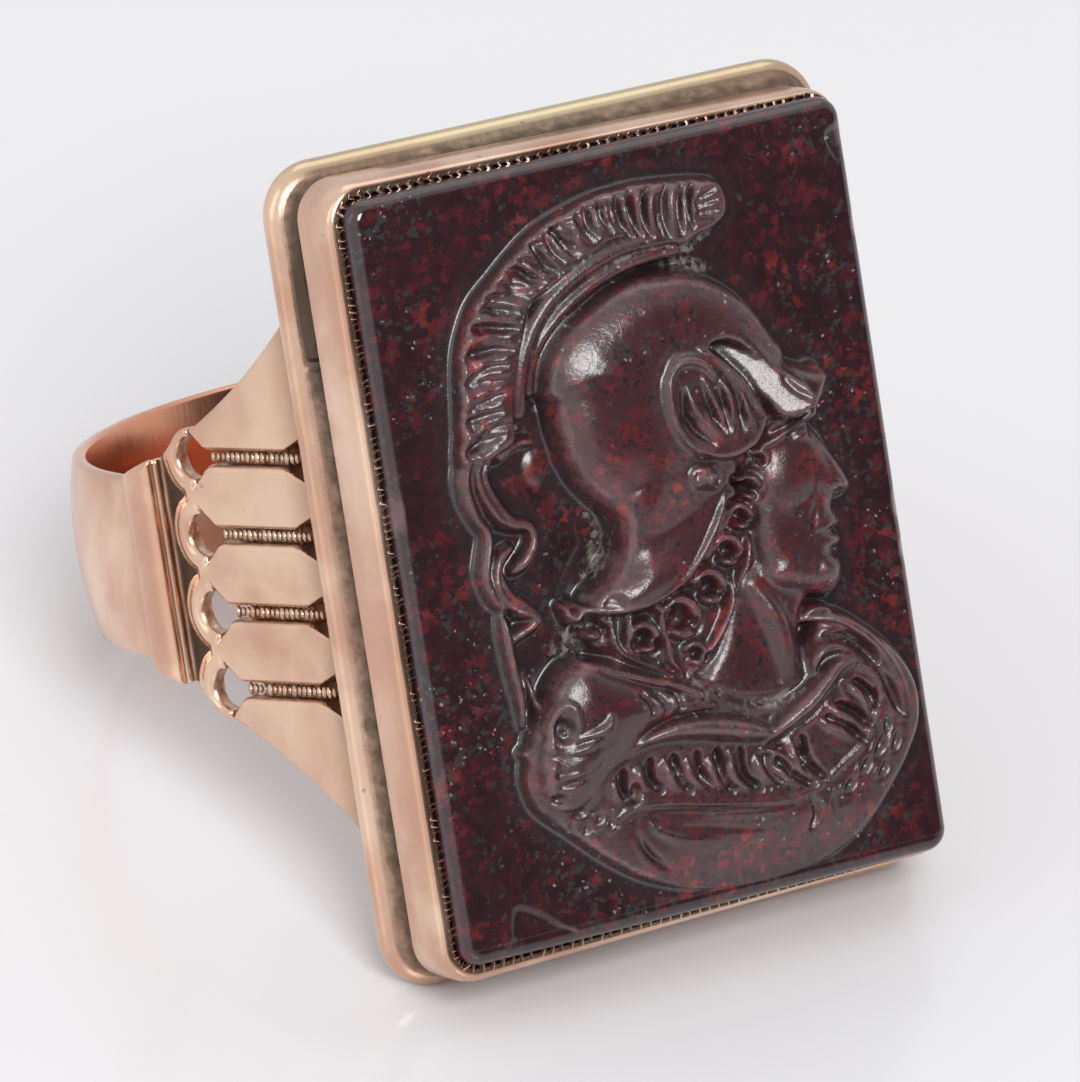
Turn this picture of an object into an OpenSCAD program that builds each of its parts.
// Cameo ring: a plain shank that widens into two pierced and channelled shoulders,
// a deep box setting with a rolled lip, and a stone plaque carved with a helmeted bust.
// The ring lies on its side, leaning back on the setting's lower rim and the shank's lower edge.

/* [Finger hoop] */
// Diameter of the finger hole
finger_d = 19; // [16:0.5:22]
// Thickness of the shank at the middle of its width
shank_t = 0.7; // [0.6:0.05:1.2]
// Width of the shank along the finger
shank_w = 5.1; // [3.5:0.1:6]
// Metal between the setting's back and the finger hole, at its thinnest
back_skin = 0.08; // [0.05:0.01:0.6]

/* [Stone] */
// Width of the stone at its girdle
stone_w = 14.9; // [13.5:0.1:16.5]
// Height of the stone at its girdle, along the finger
stone_h = 20.9; // [19:0.1:23]
// Thickness of the plaque from its face to its back
stone_t = 2.6; // [2:0.1:2.8]
// Radius of the stone's corners at its girdle
stone_corner = 1.35; // [1:0.05:2]
// Width of the bevel round the stone's face
bevel_w = 0.38; // [0.2:0.02:0.6]
// Depth of that bevel
bevel_d = 0.42; // [0.3:0.02:0.6]
// Height of the highest part of the carving above the stone's face
relief_h = 1.3; // [0.6:0.05:1.6]
// Space between the stone and the metal round it
seat_gap = 0.05; // [0.03:0.01:0.1]

/* [Setting] */
// Thickness of the lip's metal at its inner edge
lip_t = 0.1; // [0.06:0.01:0.12]
// How far the lip's front slopes back towards the stone
lip_drop = 0.04; // [0.01:0.01:0.05]
// Width of the grained lip round the stone
lip_w = 0.18; // [0.1:0.02:0.3]
// How far the lip reaches in over the stone's bevel
lip_over = 0.06; // [0.02:0.01:0.1]
// Wall of the setting at its plain band
band_t = 0.45; // [0.35:0.05:0.8]
// Distance from the lip's front to the end of the band's rounded front
band_round = 0.75; // [0.4:0.05:1]
// Depth from the lip's front to the start of the cove
band_d = 1.9; // [1.5:0.05:2.2]
// Length of the hollow cove, front to back
cove_l = 0.85; // [0.6:0.05:1]
// How deep the cove is cut into the band
cove_d = 0.2; // [0.1:0.01:0.25]
// Radius of the bead that forms the rim
bead_r = 0.45; // [0.35:0.01:0.6]
// How far the middle of the bead lies inside the band's outer face
bead_tuck = 0.08; // [0:0.01:0.15]

/* [Shoulders] */
// Width of each shoulder along the finger, where it meets the rim
shoulder_w = 15; // [12:0.5:17]
// How much wider than the shank each shoulder is where it starts
shoulder_step = 0.15; // [0:0.05:0.4]
// How far the shoulder's outline curves in from a straight line
shoulder_sag = 0.5; // [0.2:0.05:0.8]
// How far inside the rim's outer edge the shoulder ends
shoulder_inset = 0.55; // [0.3:0.05:0.9]
// Width of the rounded rib at the start of each shoulder
rib_w = 1.28; // [0.9:0.02:1.5]
// How far the rib stands proud
rib_rise = 0.12; // [0.05:0.01:0.2]
// Width of the incised line behind the rib
line_w = 0.12; // [0.08:0.01:0.2]
// Depth of that line
line_d = 0.1; // [0.05:0.01:0.15]
// Width of the scalloped groove at the crown of a scallop
groove_w = 0.34; // [0.2:0.02:0.5]
// How far the groove's cusps reach in between two scallops
cusp_l = 0.45; // [0.3:0.01:0.6]
// Depth of the scalloped groove
groove_d = 0.26; // [0.15:0.01:0.35]

/* [Piercing] */
// Number of drilled holes in each shoulder
hole_n = 4; // [3:1:4]
// Distance between neighbouring holes
hole_pitch = 2.15; // [1.9:0.05:2.3]
// Diameter of the drilled holes
hole_d = 1.14; // [0.8:0.02:1.3]
// Distance from the groove's crown to the middle of a hole
hole_off = 1.78; // [1.5:0.02:2]
// Thickness of the shoulder's plate round a hole
plate_t = 0.45; // [0.3:0.05:0.6]
// Width of the ledge that is cut out behind each hole
relief_w = 0.28; // [0.15:0.01:0.35]
// Width of the channel from each hole to the setting
channel_w = 0.42; // [0.3:0.02:0.6]
// Depth of a channel
channel_d = 0.34; // [0.2:0.02:0.45]
// Width of the sloping edge along each side of a channel
channel_edge = 0.13; // [0.05:0.01:0.2]
// Length of the notch at the setting's end of a channel
notch_l = 1.15; // [0.8:0.05:1.5]
// Width of the notch at the setting
notch_w = 1; // [0.7:0.05:1.2]
// Depth of the notch
notch_d = 0.8; // [0.5:0.05:1]

/* [Carving] */
// Number of tufts cut in the helmet's crest
tuft_n = 24; // [12:1:36]
// Columns of facets across the stone's face
facets_x = 42; // [24:2:56]
// Rows of facets up the stone's face
facets_z = 60; // [32:2:80]

/* [Hidden] */
$fn = 96;
// Cuts run on past the metal by this much, and a cut through a shoulder is this deep.
cut = 0.5;
through_d = 2.5;
gold = "#dcb79a";
maroon = "#4a2229";

finger_r = finger_d / 2;
hoop_r = finger_r + shank_t;
girdle = [stone_w / 2, stone_h / 2];
face = [girdle.x - bevel_w, girdle.y - bevel_w];
face_corner = stone_corner - bevel_w;

// Depths are measured from the stone's face towards the finger.
pocket_d = stone_t + seat_gap;
lip_d = bevel_d * (1 - lip_over / bevel_w) - lip_t - seat_gap;
cove_start = lip_d + band_d;
bead_start = cove_start + cove_l;
bead_mid = bead_start + bead_r;
setting_d = bead_mid + bead_r;
band_out = seat_gap + band_t;
bead_out = band_out - bead_tuck;
rim = [girdle.x + bead_out + bead_r, girdle.y + bead_out + bead_r];
hoop_y = setting_d + back_skin + finger_r;

// The plan of a shoulder is the tangent from the rim to the hoop's outer circle.
foot = [rim.x - shoulder_inset, setting_d];
foot_to_hoop = [foot.x, hoop_y - foot.y];
tangent_l = sqrt(foot_to_hoop * foot_to_hoop - hoop_r * hoop_r);
tangent_a = atan2(foot_to_hoop.y, foot_to_hoop.x) + asin(hoop_r / norm(foot_to_hoop));
touch = [-foot.x + tangent_l * cos(tangent_a), foot.y + tangent_l * sin(tangent_a)];
touch_a = atan2(hoop_y - touch.y, -touch.x);
line_a = touch_a - (groove_w + rib_w) / hoop_r * 180 / PI;
rib_a = touch_a - (groove_w + rib_w / 2) / hoop_r * 180 / PI;
line_y = hoop_y - hoop_r * sin(line_a);
channel_end = tangent_l - notch_l;
groove_u = groove_w / 5;

// The ring leans back until the rim's bead and the shank's edge touch the same floor.
bead_low = [bead_mid, -(girdle.y + bead_out)];
shank_low = [hoop_y + sqrt(hoop_r * hoop_r - shank_w * shank_w / 4), -shank_w / 2];
rest_v = shank_low - bead_low;
lean = atan2(rest_v.y, rest_v.x) + asin(bead_r / norm(rest_v));
floor_z = bead_low.y * cos(lean) - bead_low.x * sin(lean) - bead_r;
front_y = lip_d * cos(lean) - (girdle.y + lip_w) * sin(lean);
back_y = shank_low.x * cos(lean) - shank_low.y * sin(lean);
mid_y = (front_y + back_y) / 2;

function clamp(v, lo, hi) = max(lo, min(hi, v));
function hole_z(i) = (i - (hole_n - 1) / 2) * hole_pitch;

// Stands the ring on its rim and shank, with the middle of its depth over the origin.
module resting() {
    translate([0, -mid_y, -floor_z]) rotate([-lean, 0, 0]) children();
}

// Turns a shape drawn in plan and raised along Z so that it is raised towards the finger.
module facing() {
    rotate([-90, 0, 0]) children();
}

// The setting's section: how far out of the girdle, and how far back, each point lies.
function band_arc(n) = [for (i = [0:n]) let (a = 90 * i / n)
    [lip_w + (band_out - lip_w) * sin(a), lip_d + band_round * (1 - cos(a))]];
function cove_arc(n) = [for (i = [0:n]) let (a = 180 * i / n)
    [band_out - cove_d * sin(a), cove_start + cove_l * i / n]];
function bead_arc(n) = [for (i = [0:n]) let (a = -70 + 160 * i / n)
    [bead_out + bead_r * cos(a), bead_mid + bead_r * sin(a)]];
section = concat([[-lip_over, setting_d], [-lip_over, lip_d + lip_drop]],
    band_arc(7), cove_arc(8), bead_arc(10));

// One straight side of the setting's moulding, of length l, along X.
module moulding_side(l) {
    rotate([90, 0, 90]) translate([0, 0, -l / 2]) linear_extrude(l) polygon(section);
}

// One quarter-round corner of the moulding.
module moulding_corner() {
    rotate_extrude(angle = 90) polygon([for (p = section) [p.x + stone_corner, p.y]]);
}

module moulding() {
    run = [stone_w - 2 * stone_corner, stone_h - 2 * stone_corner];
    for (s = [0, 180]) rotate([0, 0, s]) {
        translate([0, girdle.y, 0]) moulding_side(run.x);
        rotate([0, 0, 90]) translate([0, girdle.x, 0]) moulding_side(run.y);
        translate([run.x / 2, run.y / 2, 0]) moulding_corner();
        translate([-run.x / 2, run.y / 2, 0]) rotate([0, 0, 90]) moulding_corner();
    }
}

// A plate with rounded corners, from depth d0 to depth d1.
module rounded_plate(half, corner, d0, d1) {
    translate([0, 0, d0]) {
        translate([-half.x + corner, -half.y, 0]) cube([2 * (half.x - corner), 2 * half.y, d1 - d0]);
        translate([-half.x, -half.y + corner, 0]) cube([2 * half.x, 2 * (half.y - corner), d1 - d0]);
        for (sx = [-1, 1], sy = [-1, 1])
            translate([sx * (half.x - corner), sy * (half.y - corner), 0])
                cylinder(r = corner, h = d1 - d0);
    }
}

module setting() {
    facing() difference() {
        union() {
            moulding();
            rounded_plate(girdle, stone_corner, pocket_d, setting_d);
        }
        rounded_plate([girdle.x + seat_gap, girdle.y + seat_gap], stone_corner + seat_gap,
            lip_d + lip_t, pocket_d);
    }
}

// The shank is a hoop whose outer face is crowned, so it thins towards both edges.
module shank() {
    translate([0, hoop_y, 0]) intersection() {
        cylinder(r = hoop_r, h = shank_w, center = true);
        sphere(r = hoop_r);
    }
}

// Everything inside a shoulder's outline, seen from the side: it flares from the shank to the rim.
module shoulder_outline() {
    start = [line_y, shank_w / 2 + shoulder_step];
    end = [setting_d, shoulder_w / 2];
    chord = end - start;
    out = [chord.y, -chord.x] / norm(chord);
    arc_r = (chord * chord / 4 + shoulder_sag * shoulder_sag) / (2 * shoulder_sag);
    centre = (start + end) / 2 + out * (arc_r - shoulder_sag);
    wide = 2 * (hoop_r + cut);
    difference() {
        translate([-wide / 2, bead_mid - cut, -end.y - cut])
            cube([wide, line_y - bead_mid + cut, 2 * (end.y + cut)]);
        for (s = [-1, 1])
            translate([0, centre.x, s * centre.y]) rotate([0, 90, 0])
                cylinder(r = arc_r, h = wide + cut, center = true);
    }
}

module shoulders() {
    inner = cut * [cos(tangent_a), sin(tangent_a)];
    high = shoulder_w + 2 * cut;
    rib_r = (rib_w * rib_w / 4 + rib_rise * rib_rise) / (2 * rib_rise);
    intersection() {
        union() {
            translate([0, hoop_y, 0]) cylinder(r = hoop_r, h = high, center = true);
            translate([0, 0, -high / 2]) linear_extrude(high) polygon([
                touch, [-foot.x - inner.x, foot.y - inner.y],
                [foot.x + inner.x, foot.y - inner.y], [-touch.x, touch.y]]);
            for (s = [-1, 1])
                translate([s * (hoop_r - rib_r + rib_rise) * cos(rib_a),
                        hoop_y - (hoop_r - rib_r + rib_rise) * sin(rib_a), 0])
                    cylinder(r = rib_r, h = high, center = true);
        }
        shoulder_outline();
    }
}

module notched_shoulders() {
    difference() {
        shoulders();
        for (side = [-1, 1], i = [0:hole_n - 1])
            on_shoulder(side) translate([0, 0, hole_z(i)]) notch();
    }
}

// Places cuts on a shoulder: X runs from the groove towards the rim, Y into the metal.
module on_shoulder(side) {
    mirror([side > 0 ? 1 : 0, 0, 0]) translate([touch.x, touch.y, 0])
        rotate([0, 0, tangent_a - 180]) children();
}

// A cut from outside down to depth d, with its shape drawn across the shoulder.
module sunk(d) {
    translate([0, d, 0]) rotate([90, 0, 0]) linear_extrude(d + cut) children();
}

// A round hole that runs out to a point towards the channel, and the ledge cut behind it.
module pierced_hole() {
    r = hole_d / 2;
    sunk(through_d) circle(r = r);
    sunk(through_d) rotate([0, 0, -45]) square([r, r]);
    translate([0, plate_t, 0]) rotate([-90, 0, 0]) cylinder(r = r + relief_w, h = through_d);
}

module channel() {
    start = hole_off + hole_d / 4;
    half = channel_w / 2;
    mouth = half + channel_edge;
    translate([start, 0, 0]) rotate([90, 0, 90]) linear_extrude(channel_end + channel_edge - start) polygon([
        [-cut, mouth + cut], [0, mouth], [channel_edge, half], [channel_d, half],
        [channel_d, -half], [channel_edge, -half], [0, -mouth], [-cut, -mouth - cut]]);
}

module notch() {
    sunk(notch_d) polygon([[channel_end, -channel_w / 2], [tangent_l + cut, -notch_w / 2],
        [tangent_l + cut, notch_w / 2], [channel_end, channel_w / 2]]);
}

// The groove is straight along the rib and scalloped towards the holes.
module scalloped_groove() {
    half = hole_pitch / 2;
    arc_r = (half * half + cusp_l * cusp_l) / (2 * cusp_l);
    turn = asin(half / arc_r);
    steps = 8;
    scallops = [for (i = [0:hole_n - 1], k = [i == 0 ? 0 : 1:steps]) let (a = turn * (2 * k / steps - 1))
        [groove_u + arc_r * (1 - cos(a)), hole_z(i) + arc_r * sin(a)]];
    far = shoulder_w / 2;
    sunk(groove_d) polygon(concat(scallops, [[groove_u + cusp_l, far], [groove_u - groove_w, far],
        [groove_u - groove_w, -far], [groove_u + cusp_l, -far]]));
}

module incised_line(side) {
    translate([0, hoop_y, 0]) rotate([0, 0, side > 0 ? -line_a : 180 + line_a])
        translate([hoop_r - line_d, -line_w / 2, -shoulder_w / 2])
            cube([line_d + cut, line_w, shoulder_w]);
}

module ring_mount() {
    color(gold) resting() difference() {
        union() {
            shank();
            notched_shoulders();
            setting();
        }
        translate([0, hoop_y, 0]) cylinder(r = finger_r, h = 2 * stone_h, center = true);
        for (side = [-1, 1]) {
            incised_line(side);
            on_shoulder(side) {
                scalloped_groove();
                for (i = [0:hole_n - 1]) translate([0, 0, hole_z(i)]) {
                    translate([hole_off, 0, 0]) pierced_hole();
                    channel();
                }
            }
        }
    }
}

// The carving. Places and radii are shares of carving_s, which is half the face's height unless the
// face is too narrow for the bust. Rises are shares of relief_h.
carving_s = min(face.y, face.x / 0.702);
helmet_at = [0.05, 0.318];
band_in = 0.405;
crest_in = 0.455;
crest_out = 0.612;
crest_from = 61;
crest_to = 186;

// Ovals: x, z, half-width, half-height, turn in degrees, rise
OVALS = [
    // helmet, neck guard, visor, ear piece, volute
    [0.05, 0.318, 0.385, 0.375, 0, 1.0],
    [-0.13, 0.02, 0.20, 0.24, 25, 0.85],
    [0.33, 0.385, 0.20, 0.075, -38, 0.85],
    [0.142, 0.32, 0.085, 0.135, 8, 1.0],
    [0.145, 0.115, 0.05, 0.05, 0, 1.0],
    // face, jaw, neck
    [0.33, 0.09, 0.19, 0.25, 0, 0.72],
    [0.31, -0.13, 0.19, 0.14, -12, 0.66],
    [0.27, -0.40, 0.15, 0.24, -8, 0.50],
    // curls under the helmet
    [-0.22, -0.20, 0.09, 0.06, 20, 0.62],
    [-0.09, -0.24, 0.07, 0.09, 0, 0.72],
    [0.02, -0.25, 0.065, 0.08, 0, 0.76],
    [0.09, -0.15, 0.06, 0.07, 0, 0.78],
    [0.01, -0.36, 0.08, 0.055, 20, 0.62],
    // bust: near shoulder, lion's mask, chest, far shoulder, boss, hem
    [-0.30, -0.45, 0.26, 0.16, 14, 0.75],
    [-0.36, -0.59, 0.16, 0.14, 0, 0.85],
    [0.08, -0.72, 0.60, 0.27, 0, 0.62],
    [0.50, -0.50, 0.20, 0.20, -30, 0.55],
    [0.46, -0.80, 0.11, 0.10, 0, 0.72],
    [0.08, -0.86, 0.40, 0.12, 0, 0.60]
];

// Strokes: x, z and radius at the start, x, z and radius at the end, rise at start and end
STROKES = [
    // edge of the helmet's dome, sweeping to the peak of the visor
    [0.22, 0.63, 0.04, 0.40, 0.48, 0.05, 0.9, 0.9],
    [0.40, 0.48, 0.05, 0.53, 0.355, 0.025, 0.9, 0.6],
    // rim of the neck guard
    [0.215, 0.05, 0.03, 0.06, -0.14, 0.035, 0.95, 0.95],
    [0.06, -0.14, 0.035, -0.12, -0.17, 0.035, 0.95, 0.9],
    [-0.12, -0.17, 0.035, -0.31, -0.11, 0.03, 0.9, 0.7],
    // brow, nose and lips
    [0.44, 0.27, 0.05, 0.56, 0.03, 0.045, 0.55, 0.5],
    [0.47, -0.08, 0.06, 0.49, -0.13, 0.05, 0.5, 0.45],
    [0.42, -0.20, 0.08, 0.20, -0.18, 0.08, 0.55, 0.6],
    // long locks behind the neck
    [-0.53, 0.36, 0.035, -0.50, 0.10, 0.05, 0.45, 0.5],
    [-0.50, 0.10, 0.05, -0.42, -0.12, 0.045, 0.5, 0.5],
    [-0.40, 0.34, 0.04, -0.52, 0.16, 0.04, 0.5, 0.5],
    [-0.42, -0.12, 0.045, -0.45, -0.36, 0.03, 0.5, 0.4],
    // rolled mantle across the breast
    [-0.26, -0.64, 0.075, 0.05, -0.645, 0.085, 0.95, 1.0],
    [0.05, -0.645, 0.085, 0.30, -0.62, 0.085, 1.0, 1.0],
    [0.30, -0.62, 0.085, 0.56, -0.50, 0.07, 1.0, 0.8],
    // drape over the far shoulder
    [0.38, -0.33, 0.04, 0.58, -0.42, 0.05, 0.6, 0.65],
    [0.58, -0.42, 0.05, 0.64, -0.60, 0.05, 0.65, 0.55],
    [0.64, -0.60, 0.05, 0.57, -0.80, 0.05, 0.55, 0.5],
    // collar of the near shoulder
    [-0.30, -0.36, 0.04, 0.02, -0.47, 0.04, 0.75, 0.7],
    [0.02, -0.47, 0.04, 0.24, -0.56, 0.04, 0.7, 0.7]
];

function oval_rise(p, o) = let (
    d = [p.x - o[0], p.y - o[1]],
    e = [(d.x * cos(o[4]) + d.y * sin(o[4])) / o[2], (d.y * cos(o[4]) - d.x * sin(o[4])) / o[3]],
    k = e * e) k < 1 ? o[5] * pow(1 - k, 0.55) : 0;

function stroke_rise(p, s) = let (
    a = [s[0], s[1]],
    v = [s[3], s[4]] - a,
    t = clamp((p - a) * v / (v * v), 0, 1),
    k = norm(p - a - t * v) / (s[2] + (s[5] - s[2]) * t))
    k < 1 ? (s[6] + (s[7] - s[6]) * t) * pow(1 - k * k, 0.55) : 0;

// The crest is a ring sector round the helmet, tufted across, with a plain band inside it.
function crest_rise(p) = let (
    v = p - helmet_at,
    r = norm(v),
    turned = atan2(v.y, v.x),
    a = turned < -90 ? turned + 360 : turned)
    a < crest_from || a > crest_to ? 0 :
    r > band_in && r < crest_in ? 0.55 :
    r >= crest_in && r < crest_out ?
        0.42 * pow(sin(180 * (r - crest_in) / (crest_out - crest_in)), 0.35)
        * (0.82 + 0.18 * cos(360 * tuft_n * (a - crest_from) / (crest_to - crest_from))) : 0;

function carved(p) = relief_h * max(concat([crest_rise(p), 0],
    [for (o = OVALS) oval_rise(p, o)], [for (s = STROKES) stroke_rise(p, s)]));

// Half the width of a plate with rounded corners, at height z.
function half_at(half, corner, z) = let (over = abs(z) - (half.y - corner))
    over <= 0 ? half.x : half.x - corner + sqrt(max(0, corner * corner - over * over));

// Rows stand closer together where the corners turn.
corner_rows = 4;
rows = concat(
    [for (i = [0:corner_rows - 1]) -face.y + face_corner * (1 - cos(90 * i / corner_rows))],
    [for (j = [0:facets_z]) (face.y - face_corner) * (2 * j / facets_z - 1)],
    [for (i = [corner_rows - 1:-1:0]) face.y - face_corner * (1 - cos(90 * i / corner_rows))]);
last = len(rows) - 1;

// Which way the edge of the face looks at column i of row j.
function edge_out(i, j) = let (over = abs(rows[j]) - (face.y - face_corner),
    s = i == 0 ? -1 : 1, sz = rows[j] < 0 ? -1 : 1)
    (i > 0 && i < facets_x) ? [0, sz] :
    over <= 0 ? [s, 0] :
    [s * sqrt(max(0, 1 - pow(over / face_corner, 2))), sz * over / face_corner];

// The flat back is crossed by strips from the left edge to the right, row by row. b is its first point.
function back_left(j) = j == 0 ? 0 : 2 * facets_x + 2 * last - j;
function back_right(j) = facets_x + j;
function back_faces(b) = concat(
    [for (i = [0:facets_x - 1]) each [
        [b + back_left(1), b + i, b + i + 1],
        [b + back_right(last - 1), b + facets_x + last + i, b + facets_x + last + i + 1]]],
    [[b + back_left(1), b + facets_x, b + back_right(1)],
        [b + back_left(last - 1), b + back_right(last - 1), b + back_left(last)]],
    [for (j = [1:last - 2]) each [
        [b + back_left(j), b + back_right(j), b + back_right(j + 1)],
        [b + back_left(j), b + back_right(j + 1), b + back_left(j + 1)]]]);

module cameo_stone() {
    grid = [for (z = rows, i = [0:facets_x]) let (x = (2 * i / facets_x - 1) * half_at(face, face_corner, z))
        [x, -carved([x, z] / carving_s), z]];
    loop = concat(
        [for (i = [0:facets_x]) [i, 0]],
        [for (j = [1:last]) [facets_x, j]],
        [for (i = [facets_x - 1:-1:0]) [i, last]],
        [for (j = [last - 1:-1:1]) [0, j]]);
    n = len(loop);
    function at(c) = c.y * (facets_x + 1) + c.x;
    function edge(c, d) = let (p = grid[at(c)], o = edge_out(c.x, c.y) * bevel_w) [p.x + o.x, d, p.z + o.y];
    g = len(grid);
    points = concat(grid, [for (c = loop) edge(c, bevel_d)], [for (c = loop) edge(c, stone_t)]);
    faces = concat(
        [for (j = [0:last - 1], i = [0:facets_x - 1]) let (c = at([i, j]), w = facets_x + 1)
            each [[c, c + w, c + 1], [c + 1, c + w, c + w + 1]]],
        [for (k = [0:n - 1]) let (m = (k + 1) % n, a = at(loop[k]), b = at(loop[m]))
            each [[a, b, g + k], [b, g + m, g + k],
                [g + k, g + m, g + n + k], [g + m, g + n + m, g + n + k]]],
        back_faces(g + n));
    color(maroon) resting() polyhedron(points, faces, convexity = 6);
}

ring_mount();
cameo_stone();
